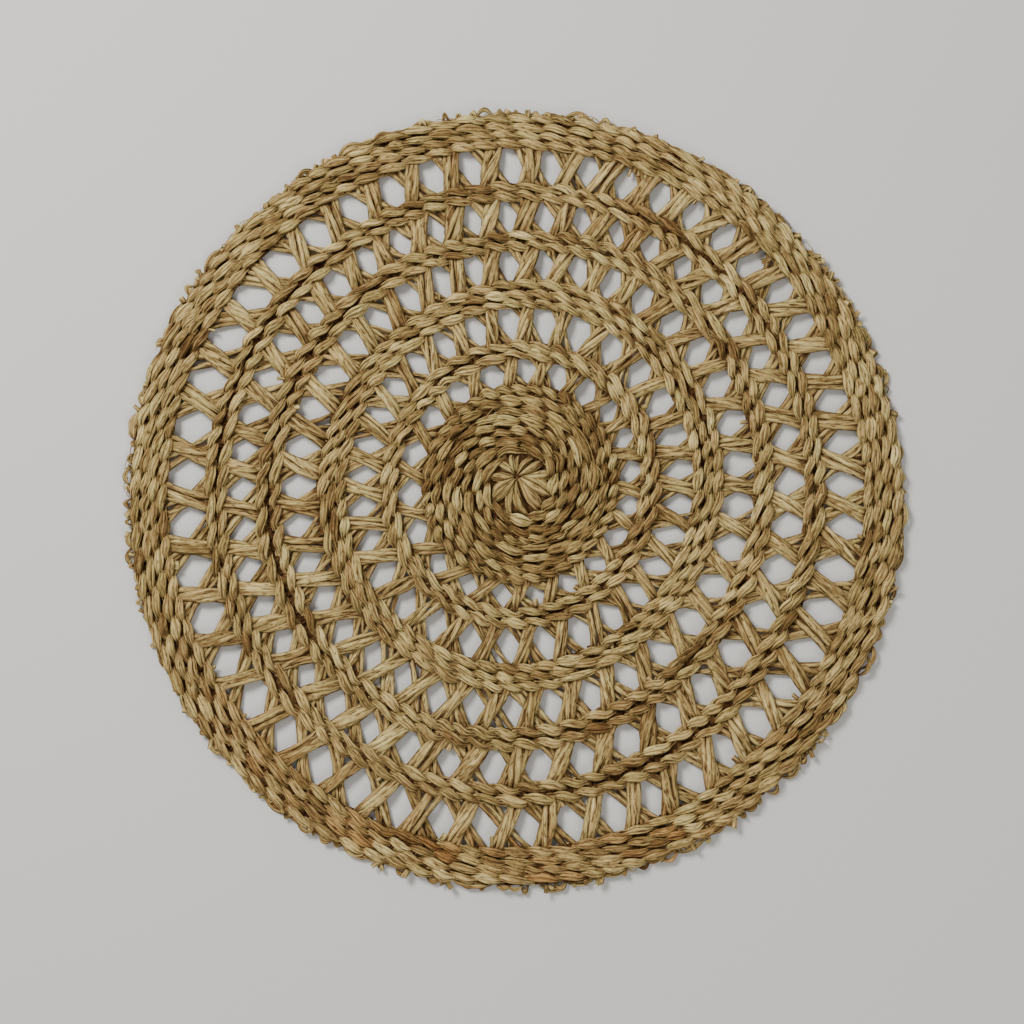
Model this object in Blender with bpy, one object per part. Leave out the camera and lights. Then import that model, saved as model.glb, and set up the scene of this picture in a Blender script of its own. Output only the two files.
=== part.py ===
"""A round openwork placemat of seagrass, 380 mm across but for its loose ends, lying flat.

Twined rows run round a star at the centre: a close disc, four rings and a rim.
Between them the stakes cross in pairs, and the gaps between the crossings go right through.
The mat is one solid with a flat underside. Its rows and stakes are raised in the top face.
X points to the right of the photo, Y to its top, and Z up. Lengths are in metres.
"""

import math
from collections import namedtuple

import bmesh
import bpy
import numpy as np
from mathutils import Vector
from mathutils.geometry import delaunay_2d_cdt

MM = 0.001

# Heights of the top face over the underside.
CREST_HEIGHT = 7.2 * MM
GROOVE_HEIGHT = 5.0 * MM
ROW_EDGE_HEIGHT = 4.2 * MM
OVER_STAKE_HEIGHT = 6.0 * MM
UNDER_STAKE_HEIGHT = 3.8 * MM
STAKE_SIDE_HEIGHT = 3.4 * MM

# Twined rows.
ROW_WIDTH = 4.8 * MM
POINT_SPACING = 18.0 * MM
FEWEST_POINTS = 18

# Stakes, where a crossing takes up a pitch of 20 mm along its band.
PITCH = 20.0 * MM
OVER_LEAN = 2.6 * MM
UNDER_LEAN = 4.4 * MM
OVER_WIDTH = 7.6 * MM
UNDER_WIDTH = 4.8 * MM
WAIST_WIDTH = 8.6 * MM
WAIST_SHARE = 0.24
STAKE_POINT_SHARE = 0.34

# Star at the centre.
SPOKES = 12
STAR_RADIUS = 14.0 * MM
SPOKE_CREST_RADIUS = 8.0 * MM
SPOKE_VALLEY_RADIUS = 9.5 * MM
STAR_DIMPLE_HEIGHT = 5.2 * MM

# Outer edge: stake ends turned back in small low loops, and a few cut ends that stand out.
EDGE_LOOPS = 101
EDGE_WIDTH = 1.6 * MM
EDGE_HEIGHT = 3.6 * MM
EDGE_DIP = 1.2 * MM
EDGE_DIP_HEIGHT = 3.0 * MM
STAKE_END_SHARE = 0.35
STAKE_END_LONGEST = 1.8 * MM
STAKE_END_SHORTEST = 0.4 * MM
SEED = 7

STRAW_SRGB = (0.62, 0.545, 0.36)
STRAW_ROUGHNESS = 0.8

# Groups of twined rows, from the centre outwards.
Ring = namedtuple("Ring", "first_row spacing rows")
RINGS = (
    Ring(17.2 * MM, 4.90 * MM, 7),
    Ring(61.4 * MM, 6.00 * MM, 2),
    Ring(87.5 * MM, 5.20 * MM, 3),
    Ring(117.6 * MM, 7.30 * MM, 2),
    Ring(143.8 * MM, 6.40 * MM, 2),
    Ring(171.9 * MM, 4.80 * MM, 4),
)

# Open bands between those groups: the crossings, and in degrees where the first gap is
# and how far the gaps drift from an even spacing, once and twice round.
Band = namedtuple("Band", "crossings first cos1 sin1 cos2 sin2")
BANDS = (
    Band(20, 4.0, 0.6, -5.5, 1.5, 1.2),
    Band(29, 5.0, 1.5, 1.0, -1.2, -0.8),
    Band(36, 1.6, 3.5, 1.8, 1.3, 1.4),
    Band(42, -4.5, 5.2, 3.5, 1.3, 0.6),
    Band(48, -1.4, 3.0, -4.0, 0.6, 1.6),
)

# How far the rows wander from true circles about the mat's middle: the shift of a row
# of this radius, and its stretch along the axes and along the diagonals.
Wander = namedtuple("Wander", "radius right up straight diagonal")
WANDER = (
    Wander(0.0 * MM, 0.8 * MM, 12.1 * MM, 0.0 * MM, 0.0 * MM),
    Wander(17.2 * MM, 3.0 * MM, 6.6 * MM, 0.0 * MM, 0.3 * MM),
    Wander(47.0 * MM, 2.4 * MM, 8.5 * MM, -0.3 * MM, 0.5 * MM),
    Wander(79.4 * MM, 2.7 * MM, 8.1 * MM, -0.8 * MM, 1.6 * MM),
    Wander(108.8 * MM, 1.1 * MM, 6.5 * MM, -0.1 * MM, 1.6 * MM),
    Wander(134.3 * MM, 0.0 * MM, 5.0 * MM, -0.4 * MM, 1.5 * MM),
    Wander(161.3 * MM, 0.2 * MM, 2.3 * MM, -0.4 * MM, 0.7 * MM),
    Wander(187.0 * MM, 0.0 * MM, 0.0 * MM, 0.0 * MM, 0.0 * MM),
)


def place(radius, angle):
    """Points of the mat's plane, from a row's even radius and angle to where that row really runs."""
    radius, angle = np.broadcast_arrays(radius, angle)
    table = np.array(WANDER)
    right, up, straight, diagonal = (
        np.interp(radius, table[:, 0], table[:, column]) for column in (1, 2, 3, 4)
    )
    reach = radius + straight * np.cos(2 * angle) + diagonal * np.sin(2 * angle)
    return np.stack([right + reach * np.cos(angle), up + reach * np.sin(angle)], axis=-1)


def row_radii(ring):
    return [ring.first_row + ring.spacing * row for row in range(ring.rows)]


def band_limits(index):
    """The inner and outer radius of an open band."""
    inner = row_radii(RINGS[index])[-1] + ROW_WIDTH / 2
    outer = RINGS[index + 1].first_row - ROW_WIDTH / 2
    return inner, outer


def gap_angles(band):
    """The angle of each gap's middle."""
    turn = 2 * math.pi * np.arange(band.crossings) / band.crossings
    drift = band.first + band.cos1 * np.cos(turn) + band.sin1 * np.sin(turn)
    drift = drift + band.cos2 * np.cos(2 * turn) + band.sin2 * np.sin(2 * turn)
    return turn + np.radians(drift)


def crossing_angles(band):
    """The angle of each crossing, halfway between the gap of the same number and the next."""
    gaps = gap_angles(band)
    after = np.append(gaps[1:], gaps[0] + 2 * math.pi)
    return (gaps + after) / 2


class Plan:
    """Points of the plan with their heights, and the lines that join them."""

    def __init__(self):
        self.points = []
        self.heights = []
        self.lines = []
        self.loops = []

    def add(self, points, heights):
        start = len(self.points)
        heights = np.broadcast_to(heights, len(points))
        self.points.extend(Vector((float(x), float(y))) for x, y in points)
        self.heights.extend(float(height) for height in heights)
        return list(range(start, len(self.points)))

    def add_ring(self, points, heights):
        """A closed line of points, such as a row's crest."""
        numbers = self.add(points, heights)
        self.lines.extend(zip(numbers, numbers[1:] + numbers[:1]))
        return numbers

    def add_edge(self, points, heights):
        """A closed line where the mat ends."""
        self.loops.append(self.add_ring(points, heights))


def add_outline(plan, rng):
    """The outer edge, with its small loops and the stake ends that stand out."""
    count = 2 * EDGE_LOOPS
    angle = 2 * math.pi * np.arange(count) / count
    is_loop = np.arange(count) % 2 == 0
    reach = row_radii(RINGS[-1])[-1] + ROW_WIDTH / 2 + EDGE_WIDTH
    radius = np.where(is_loop, reach, reach - EDGE_DIP)
    has_end = is_loop & (rng.random(count) < STAKE_END_SHARE)
    length = rng.uniform(STAKE_END_SHORTEST, STAKE_END_LONGEST, count)
    radius = radius + np.where(has_end, length, 0.0)
    plan.add_edge(place(radius, angle), np.where(is_loop, EDGE_HEIGHT, EDGE_DIP_HEIGHT))


def add_rows(plan):
    """A crest along each twined row and a groove between rows of one group."""
    for ring in RINGS:
        for row, radius in enumerate(row_radii(ring)):
            count = max(FEWEST_POINTS, round(2 * math.pi * radius / POINT_SPACING))
            angle = 2 * math.pi * np.arange(count) / count
            plan.add_ring(place(radius, angle), CREST_HEIGHT)
            if row + 1 < ring.rows:
                groove = radius + ring.spacing / 2
                plan.add_ring(place(groove, angle + math.pi / count), GROOVE_HEIGHT)


def add_star(plan):
    """The star of spokes at the centre, and the groove round it."""
    angle = 2 * math.pi * np.arange(SPOKES) / SPOKES
    half = math.pi / SPOKES
    plan.add(place(np.zeros(1), np.zeros(1)), STAR_DIMPLE_HEIGHT)
    plan.add(place(SPOKE_CREST_RADIUS, angle), CREST_HEIGHT)
    plan.add(place(SPOKE_VALLEY_RADIUS, angle + half), GROOVE_HEIGHT)
    angle = math.pi * np.arange(2 * SPOKES) / SPOKES
    plan.add_ring(place(STAR_RADIUS, angle), GROOVE_HEIGHT)


def add_gap(plan, limits, before, after, scale):
    """One gap between two crossings, eight-sided and widest at the crossings' waists."""
    inner, outer = limits
    middle = (inner + outer) / 2
    step = WAIST_SHARE * (outer - inner)
    over = scale * (OVER_LEAN + OVER_WIDTH / 2)
    under = scale * (UNDER_LEAN + UNDER_WIDTH / 2)
    waist = scale * WAIST_WIDTH / 2
    radius = np.array([inner, middle - step, middle + step, outer] * 2)
    radius[4:] = radius[4:][::-1]
    aside = np.array([over, waist, waist, under, over, waist, waist, under])
    sign = np.array([1, 1, 1, 1, -1, -1, -1, -1])
    angle = np.where(sign > 0, before, after) + sign * aside / middle
    heights = np.where(aside == waist, STAKE_SIDE_HEIGHT, ROW_EDGE_HEIGHT)
    plan.add_edge(place(radius, angle)[::-1], heights[::-1])


def add_stakes(plan, limits, crossings, scale):
    """The raised lines of each crossing: the stake that passes over and the one under it."""
    inner, outer = limits
    middle = (inner + outer) / 2
    rise = STAKE_POINT_SHARE * (outer - inner)
    plan.add(place(middle, crossings), OVER_STAKE_HEIGHT)
    for end in (-1, 1):
        radius = middle + end * rise
        over = -end * OVER_LEAN * scale * 2 * STAKE_POINT_SHARE / middle
        under = end * UNDER_LEAN * scale / middle
        plan.add(place(radius, crossings + over), OVER_STAKE_HEIGHT)
        plan.add(place(radius, crossings + under), UNDER_STAKE_HEIGHT)


def add_bands(plan):
    """The gaps and crossings of every open band."""
    for index, band in enumerate(BANDS):
        limits = band_limits(index)
        scale = math.pi * sum(limits) / band.crossings / PITCH
        crossings = crossing_angles(band)
        before = np.roll(crossings, 1)
        before[0] -= 2 * math.pi
        for left, right in zip(before, crossings):
            add_gap(plan, limits, left, right, scale)
        add_stakes(plan, limits, crossings, scale)


def inside(polygon, x, y):
    """Whether a point is within a polygon, by counting the sides to its right."""
    found = False
    for (x0, y0), (x1, y1) in zip(polygon, polygon[1:] + polygon[:1]):
        if (y0 > y) != (y1 > y) and x < x0 + (y - y0) * (x1 - x0) / (y1 - y0):
            found = not found
    return found


def triangulate(points, lines, loops):
    """Triangles that fill the mat's plan, without those outside it and in its gaps."""
    placed, _, faces, origins, _, _ = delaunay_2d_cdt(points, lines, [], 0, 1e-7)
    assert len(placed) == len(points), "two lines of the plan cross"
    number = {index: origin[0] for index, origin in enumerate(origins)}
    loop_of = {point: n for n, loop in enumerate(loops) for point in loop}
    polygons = [[tuple(points[point]) for point in loop] for loop in loops]
    kept = []
    for face in faces:
        corners = [number[corner] for corner in face]
        owners = {loop_of.get(corner) for corner in corners}
        if len(owners) == 1 and None not in owners:
            owner = owners.pop()
            x, y = sum((points[corner] for corner in corners), Vector((0.0, 0.0))) / 3
            if inside(polygons[owner], x, y) != (owner == 0):
                continue
        kept.append(corners)
    return kept


def build_mat(plan):
    """The closed solid: a raised top, a flat underside and the walls of edge and gaps."""
    top_faces = triangulate(plan.points, plan.lines, plan.loops)
    edge = [point for loop in plan.loops for point in loop]
    flat_number = {point: number for number, point in enumerate(edge)}
    flat_loops = [[flat_number[point] for point in loop] for loop in plan.loops]
    flat_points = [plan.points[point] for point in edge]
    flat_lines = [pair for loop in flat_loops for pair in zip(loop, loop[1:] + loop[:1])]
    flat_faces = triangulate(flat_points, flat_lines, flat_loops)

    mesh = bpy.data.meshes.new("seagrass_mat")
    made = bmesh.new()
    top = [
        made.verts.new((point.x, point.y, height))
        for point, height in zip(plan.points, plan.heights)
    ]
    bottom = [made.verts.new((point.x, point.y, 0.0)) for point in flat_points]
    for face in top_faces:
        made.faces.new([top[corner] for corner in face])
    for face in flat_faces:
        made.faces.new([bottom[corner] for corner in reversed(face)])
    for loop, flat_loop in zip(plan.loops, flat_loops):
        for step in range(len(loop)):
            after = (step + 1) % len(loop)
            corners = [
                top[loop[step]],
                bottom[flat_loop[step]],
                bottom[flat_loop[after]],
                top[loop[after]],
            ]
            made.faces.new(corners)
    bmesh.ops.recalc_face_normals(made, faces=made.faces)
    for face in made.faces:
        face.smooth = True
    made.to_mesh(mesh)
    made.free()
    mesh.set_sharp_from_angle(angle=math.radians(50))
    return bpy.data.objects.new("seagrass_mat", mesh)


def linear(value):
    """One channel of an sRGB colour as linear light."""
    return value / 12.92 if value <= 0.04045 else ((value + 0.055) / 1.055) ** 2.4


def straw_material():
    """Dry seagrass: dull and olive."""
    material = bpy.data.materials.new("dry seagrass")
    material.use_nodes = True
    shader = material.node_tree.nodes["Principled BSDF"]
    shader.inputs["Base Color"].default_value = (*map(linear, STRAW_SRGB), 1.0)
    shader.inputs["Roughness"].default_value = STRAW_ROUGHNESS
    shader.inputs["Metallic"].default_value = 0.0
    return material


def main():
    for old in list(bpy.data.objects):
        bpy.data.objects.remove(old)
    collection = bpy.data.collections.new("seagrass placemat")
    bpy.context.scene.collection.children.link(collection)
    plan = Plan()
    add_outline(plan, np.random.default_rng(SEED))
    add_bands(plan)
    add_rows(plan)
    add_star(plan)
    mat = build_mat(plan)
    mat.data.materials.append(straw_material())
    collection.objects.link(mat)


main()
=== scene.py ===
# %% [markdown]
# # A round openwork placemat of seagrass
#
# The real mat is made by hand. Bundles of flat, dry seagrass blades, the stakes, run out
# from a star at the centre. Pairs of twisted blades, the weft, are twined round them row by
# row. Where no row is worked the stakes cross in pairs and leave a ring of open gaps.
# This script dresses the plain solid of the mat with those rows, stakes and loose ends.

import math
from collections import namedtuple

import bpy
import numpy as np
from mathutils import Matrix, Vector


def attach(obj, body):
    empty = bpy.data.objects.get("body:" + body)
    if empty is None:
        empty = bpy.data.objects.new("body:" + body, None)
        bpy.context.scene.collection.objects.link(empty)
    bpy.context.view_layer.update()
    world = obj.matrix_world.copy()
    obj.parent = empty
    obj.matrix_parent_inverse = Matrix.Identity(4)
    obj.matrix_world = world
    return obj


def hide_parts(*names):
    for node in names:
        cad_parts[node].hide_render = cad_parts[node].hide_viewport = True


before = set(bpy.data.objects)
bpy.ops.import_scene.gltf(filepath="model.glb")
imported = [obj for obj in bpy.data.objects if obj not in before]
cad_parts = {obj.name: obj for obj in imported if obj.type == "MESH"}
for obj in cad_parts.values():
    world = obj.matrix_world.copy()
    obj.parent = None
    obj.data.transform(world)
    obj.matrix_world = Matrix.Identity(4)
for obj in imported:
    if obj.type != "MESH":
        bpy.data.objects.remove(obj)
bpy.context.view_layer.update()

# %% [markdown]
# ## Real sizes
#
# Every row has its own radius, measured from a round mat 380 mm across. A row of twining
# looks like a two-strand rope lying flat. Its stitches are 8 to 13 mm long and about 5 mm
# wide, and every second stitch belongs to the same strand. Where the rows lie close the
# stitches run straight on, and where they lie wide apart they slant.
#
# A ring's tone, wild and green say how pale, how uneven and how olive its strands are.
# A band's first gap lies at an angle in degrees. The next four angles let its gaps drift
# once and twice round the mat, and wide makes its stakes wider. The rows aren't true
# circles either: each is shifted to the right and up, and stretched along the straight and
# along the diagonal.

# %% Rows, open bands, and how the rows wander
MM = 0.001

Ring = namedtuple("Ring", "name first_row spacing rows stitch width slant tone wild green")
RINGS = (
    Ring("disc", 17.2 * MM, 4.90 * MM, 7, 10.4 * MM, 5.1 * MM, 1.0 * MM, 0.29, 1.9, 0.45),
    Ring("inner_ring", 61.6 * MM, 5.80 * MM, 2, 10.8 * MM, 5.0 * MM, 1.2 * MM, 0.58, 1.5, 0.0),
    Ring("three_row_ring", 87.5 * MM, 5.20 * MM, 3, 10.8 * MM, 4.9 * MM, 1.0 * MM, 0.56, 1.5, 0.0),
    Ring("middle_ring", 118.0 * MM, 6.40 * MM, 2, 11.2 * MM, 5.2 * MM, 1.3 * MM, 0.54, 1.5, 0.0),
    Ring("outer_ring", 144.0 * MM, 6.00 * MM, 2, 11.4 * MM, 5.0 * MM, 1.2 * MM, 0.49, 1.4, 0.0),
    Ring("rim", 171.9 * MM, 4.80 * MM, 4, 12.0 * MM, 5.2 * MM, 0.8 * MM, 0.49, 1.3, 0.0),
)

Band = namedtuple("Band", "crossings first cos1 sin1 cos2 sin2 wide")
BANDS = (
    Band(20, 4.0, 0.6, -5.5, 1.5, 1.2, 1.0),
    Band(29, 5.0, 1.5, 1.0, -1.2, -0.8, 1.08),
    Band(36, 1.6, 3.5, 1.8, 1.3, 1.4, 1.15),
    Band(42, -4.5, 5.2, 3.5, 1.3, 0.6, 1.2),
    Band(48, -1.4, 3.0, -4.0, 0.6, 1.6, 1.08),
)

Wander = namedtuple("Wander", "radius right up straight diagonal")
WANDER = (
    Wander(0.0 * MM, 0.8 * MM, 12.1 * MM, 0.0 * MM, 0.0 * MM),
    Wander(17.2 * MM, 3.0 * MM, 6.6 * MM, 0.0 * MM, 0.3 * MM),
    Wander(47.0 * MM, 2.4 * MM, 8.5 * MM, -0.3 * MM, 0.5 * MM),
    Wander(79.4 * MM, 2.7 * MM, 8.1 * MM, -0.8 * MM, 1.6 * MM),
    Wander(108.8 * MM, 1.1 * MM, 6.5 * MM, -0.1 * MM, 1.6 * MM),
    Wander(134.3 * MM, 0.0 * MM, 5.0 * MM, -0.4 * MM, 1.5 * MM),
    Wander(161.3 * MM, 0.2 * MM, 2.3 * MM, -0.4 * MM, 0.7 * MM),
    Wander(187.0 * MM, 0.0 * MM, 0.0 * MM, 0.0 * MM, 0.0 * MM),
)


def place(radius, angle):
    """Plan points of rows: shift right and up, plus radius stretched by cos and sin of twice
    the angle, each looked up for the row's radius in the table above."""
    radius, angle = np.broadcast_arrays(radius, angle)
    table = np.array(WANDER)
    right, up, straight, diagonal = (
        np.interp(radius, table[:, 0], table[:, column]) for column in (1, 2, 3, 4)
    )
    reach = radius + straight * np.cos(2 * angle) + diagonal * np.sin(2 * angle)
    return np.stack([right + reach * np.cos(angle), up + reach * np.sin(angle)], axis=-1)


def outward(radius, angle):
    """Unit direction in the plan in which a row's radius grows: place() a little further
    out minus place() here, made one long."""
    a_little = 0.2 * MM
    step = place(radius + a_little, angle) - place(radius, angle)
    return step / np.linalg.norm(step, axis=-1, keepdims=True)


def lifted(plan, height):
    """Plan points or directions with a height of their own."""
    return np.concatenate([plan, np.broadcast_to(height, plan.shape[:-1])[..., None]], axis=-1)


print("rows of twining:", sum(ring.rows for ring in RINGS))
print("crossings:", sum(band.crossings for band in BANDS))

# %% [markdown]
# ## A blade is a profile carried along a path
#
# A strand of weft is a few blades of seagrass lying side by side, and a stake is a few more.
# Each blade is modelled, so the grooves between them are real and cast real shade, which
# a painted shade makes darker still. A blade has only eight points round it, because there
# are thousands. Many blades are worked out at once as one array of points, and one function
# turns such arrays into a mesh. Each point also keeps four numbers for the material: the tone
# of its stitch, the painted shade it gets in a crevice, and how rusty and how green it is.

# %% From blades to a mesh
# Each point keeps its tone, the painted shade it gets in crevices, grooves and dives, and its rust
# and green.
Strands = namedtuple("Strands", "points along tone crevice rust green closed")
AROUND = 8
TURN = 2 * np.pi * np.arange(AROUND) / AROUND - np.pi / 2
SECTION = np.stack([np.cos(TURN), np.sin(TURN)], axis=-1)
# Painted shade at both sides of every blade, darkest in the grooves between blades.
GROOVE_SHADE = 0.78 * np.cos(TURN) ** 2
LATEST_UV_START = 9.0


def sweep(path, across, half_width, half_thick, tilt):
    """Surface points: path plus across times half the width times the section's first
    number, plus up times half the thickness times its second, after turning the section by
    tilt. Arrays are blades by steps by section points."""
    tilt = np.broadcast_to(tilt, path.shape[:-1])[..., None]
    wide = half_width[..., None] * SECTION[:, 0]
    thick = half_thick[..., None] * SECTION[:, 1]
    side = wide * np.cos(tilt) - thick * np.sin(tilt)
    rise = wide * np.sin(tilt) + thick * np.cos(tilt)
    up = np.array([0.0, 0.0, 1.0])
    return path[..., None, :] + side[..., None] * across[..., None, :] + rise[..., None] * up


def to_the_right(path):
    """Level unit direction to the right of a path: its heading, turned by a quarter."""
    heading = np.gradient(path, axis=-2)
    across = np.stack(
        [heading[..., 1], -heading[..., 0], np.zeros(path.shape[:-1])], axis=-1
    )
    return across / np.linalg.norm(across, axis=-1, keepdims=True)


def run_length(path):
    """Distance along each blade, from its first point to each of its points."""
    step = np.linalg.norm(np.diff(path, axis=1), axis=-1)
    return np.concatenate([np.zeros((len(path), 1)), np.cumsum(step, axis=1)], axis=1)


def blades(path, across, half_width, half_thick, tilt, tone, depth_shade, rust, green, closed, rng):
    """Strands from paths shaped blades by steps. Their painted shade is the given painted shade
    plus the painted shade of the groove at each side of a blade, between nothing and one. The
    UV of each blade starts somewhere else, so no two have the same streaks."""
    shape = path.shape[:2]
    half_width, half_thick = (np.broadcast_to(half, shape) for half in (half_width, half_thick))
    tone, depth_shade, rust, green = (
        np.broadcast_to(value, shape)[..., None] for value in (tone, depth_shade, rust, green)
    )
    points = sweep(path, across, half_width, half_thick, tilt)
    along = run_length(path) + rng.uniform(0, LATEST_UV_START, (len(path), 1))
    crevice = np.clip(depth_shade + GROOVE_SHADE, 0, 1)
    return Strands(points, along, np.clip(tone, 0, 1), crevice, rust, green, closed)


def strand_faces(strands, first):
    """Corner numbers of the quads between steps, and of the end caps of open blades."""
    count, steps, around = strands.points.shape[:3]
    grid = first + np.arange(count * steps * around).reshape(count, steps, around)
    after = np.roll(grid, -1, axis=1) if strands.closed else grid[:, 1:]
    here = grid if strands.closed else grid[:, :-1]
    quads = np.stack(
        [here, after, np.roll(after, -1, axis=2), np.roll(here, -1, axis=2)], axis=-1
    ).reshape(-1, 4)
    caps = np.empty((0, around), int)
    if not strands.closed:
        caps = np.concatenate([grid[:, 0], grid[:, -1, ::-1]])
    return quads, caps


def corner_uv(strands):
    """UV of each quad's corners: metres along the blade, and the share of the way round."""
    around = strands.points.shape[2]
    wide = np.arange(around) / around
    along = strands.along
    last = along[:, -1:] + np.linalg.norm(
        strands.points[:, 0, 0] - strands.points[:, -1, 0], axis=-1
    )[:, None]
    later = np.concatenate([along[:, 1:], last], axis=1) if strands.closed else along[:, 1:]
    here = along if strands.closed else along[:, :-1]
    u = np.stack([here, later, later, here], axis=-1)[:, :, None, :]
    v = np.stack([wide, wide, wide + 1 / around, wide + 1 / around], axis=-1)
    u, v = np.broadcast_arrays(u, v[None, None])
    return np.stack([u, v], axis=-1).reshape(-1, 2)


def enclosed(points, quads):
    """Volume inside the quads: the sum of each triangle's triple product, over six."""
    a, b, c, d = (points[quads[:, corner]] for corner in range(4))
    cones = np.cross(a, b) * c + np.cross(a, c) * d
    return cones.sum() / 6


def strand_mesh(name, groups):
    """One mesh object from groups of strands, with its UV map and four attributes."""
    points, corners, sizes, uvs, numbers, walls, first = [], [], [], [], [], [], 0
    for strands in groups:
        quads, caps = strand_faces(strands, first)
        points.append(strands.points.reshape(-1, 3))
        first += len(points[-1])
        walls.append(quads)
        corners += [quads.ravel(), caps.ravel()]
        sizes += [np.full(len(quads), 4), np.full(len(caps), caps.shape[1])]
        uvs += [corner_uv(strands), np.zeros((caps.size, 2))]
        shape = strands.points.shape[:3]
        own = [strands.tone, strands.crevice, strands.rust, strands.green]
        numbers.append([np.broadcast_to(value, shape).ravel() for value in own])
    points, corners = np.concatenate(points), np.concatenate(corners)
    sizes, uvs = np.concatenate(sizes), np.concatenate(uvs)
    mesh = bpy.data.meshes.new(name)
    mesh.vertices.add(len(points))
    mesh.vertices.foreach_set("co", points.astype(np.float32).ravel())
    mesh.loops.add(len(corners))
    mesh.loops.foreach_set("vertex_index", corners.astype(np.int32))
    mesh.polygons.add(len(sizes))
    mesh.polygons.foreach_set("loop_start", (np.cumsum(sizes) - sizes).astype(np.int32))
    mesh.polygons.foreach_set("use_smooth", np.ones(len(sizes), bool))
    mesh.uv_layers.new(name="weave").data.foreach_set("uv", uvs.astype(np.float32).ravel())
    for number, kind in enumerate(("tone", "crevice", "rust", "green")):
        values = np.concatenate([group[number] for group in numbers])
        attribute = mesh.attributes.new(kind, "FLOAT", "POINT")
        attribute.data.foreach_set("value", values.astype(np.float32))
    mesh.update(calc_edges=True)
    mesh.validate()
    thing = bpy.data.objects.new(name, mesh)
    bpy.context.scene.collection.objects.link(thing)
    triangles = int((sizes - 2).sum())
    litres = enclosed(points, np.concatenate(walls)) * 1000
    print(f"{name}: {triangles} triangles, faces outward round {litres:.3f} litres")
    return thing


# %% [markdown]
# ## Nothing grown is even
#
# Each row swings a little to and fro, and each stitch has its own plumpness and tone. The
# swing is a smooth curve through seeded random numbers, which closes on itself.

# %% Smooth seeded unevenness
SEED = 11
FEWEST_KNOTS = 4
RUST_POWER = 3
GREEN_POWER = 2
RUST_ANYWHERE = 0.08
RUST_LOW_ON_RIM = 0.8
RUST_BELOW, RUST_LOW_BLEND = 60 * MM, 110 * MM
RUST_BEYOND, RUST_RIM_BLEND = 150 * MM, 20 * MM


def give_or_take(most, shape, rng):
    """Random numbers from minus most to most."""
    return rng.uniform(-most, most, shape)


def between(low, high, shape, rng):
    """Random lengths in metres from low to high millimetres."""
    return rng.uniform(low, high, shape) * MM


def mostly_small(power, shape, rng):
    """Random numbers from 0 to 1, raised to a power so that most of them are small."""
    return rng.uniform(0, 1, shape) ** power


def blade_by_blade(value, shape):
    """Values spread over a shape, with one line for each blade."""
    return np.broadcast_to(value, shape).reshape(-1, shape[-1])


def through(values, angle):
    """Smooth closed curve round a circle through values at even angles, joined by half
    cosine waves. Values may be a whole array of such curves, one a row."""
    knots = values.shape[-1]
    spot = (angle / (2 * np.pi) % 1.0) * knots
    low = np.floor(spot).astype(int) % knots
    share = (1 - np.cos(np.pi * (spot - np.floor(spot)))) / 2
    return values[..., low] * (1 - share) + values[..., (low + 1) % knots] * share


def swing(angle, knots, rng, shape=()):
    """Curves through random numbers from -1 to 1."""
    return through(give_or_take(1, (*shape, max(FEWEST_KNOTS, int(knots))), rng), angle)


def rust_at(point, luck):
    """How rusty a stitch is: most of all low on the rim, where old blades went in."""
    from_middle = np.linalg.norm(point[..., :2], axis=-1)
    low = np.clip((-point[..., 1] - RUST_BELOW) / RUST_LOW_BLEND, 0, 1)
    far = np.clip((from_middle - RUST_BEYOND) / RUST_RIM_BLEND, 0, 1)
    return np.clip(luck * (RUST_ANYWHERE + RUST_LOW_ON_RIM * low * far), 0, 1)


# %% [markdown]
# ## Twined rows
#
# Two strands go round each other like a flat rope. In the section of the row a strand's
# place goes round an ellipse, so it is on top for one stitch and underneath for the next.
# It is widest on top, where it shows as a leaf-shaped stitch, and narrow where it dives
# under its partner. Turning the twist by whole stitches makes the row close on itself.
# Each strand is three blades side by side that roll and shift a little as they go.

# %% One row of twining
MID_HEIGHT = 3.55 * MM
TWIST_RISE = 1.9 * MM
BLADE_HALF_THICK = 1.0 * MM
STEP = 1.85 * MM
LOWEST = 1.5 * MM
SEATS = np.array([-1.0, 0.0, 1.0])[None, :, None]
DISC_PITCHES = (1.05, 0.9, 0.85, 1.1, 1.2, 1.0, 0.75)

# The strand: powers of the sine of its twist, and shares of its width and thickness.
SWELL_POWER = 0.85
RISE_POWER = 0.65
DIVE_WIDTH, DIVE_THICKNESS = 0.46, 0.75
PLUMP_WIDTH, PLUMP_THICKNESS, PLUMP_RISE = 0.14, 0.06, 0.07
UNEVEN_PACE = 0.3

# Its three blades: the arch they sit on, how they roll, shift and tilt, and their widths.
ARCH_WIDTH, ARCH_HEIGHT, ARCH_BASE = 0.64, 0.4, 0.8
STITCH_ROLL, SLOW_ROLL, SLOW_ROLL_RUN = 0.45, 0.3, 24 * MM
BLADE_SHIFT, BLADE_SHIFT_RUN = 0.22, 12 * MM
TWIST_TILT, SEAT_TILT = 0.3, 0.5
MIDDLE_BLADE, SIDE_BLADE_LESS = 0.5, 0.1
RIDGE_WIDTH, RIDGE_MIDDLE, RIDGE_HEIGHT = 0.35, 0.6, 0.2 * MM
UNEVEN_WIDTH, UNEVEN_WIDTH_RUN = 0.2, 15 * MM

# The row: how far it strays in the plan and in height.
STRAY = 0.28 * MM
SKEW, SKEW_SLANT = 0.3 * MM, 0.3
LIFT = 0.2 * MM
BOB, BOB_RUN = 0.22 * MM, 11 * MM

# The tones: how they differ; and the painted shade where a strand dives, darkest a little below
# its middle height.
STITCH_TONE, BLADE_TONE, SHIFT_TONE = 0.12, 0.06, 0.08
DIVE_SHADE, DARKEST_BELOW = 0.6, 0.3

# The ring: how its rows sway and gather together, and how far each starts past the last.
SWAY_RUN, FEWEST_SWAYS = 70 * MM, 5
GATHER, GATHER_FROM = 0.9 * MM, 0.5
STAGGER = (0.3, 0.62)


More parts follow.
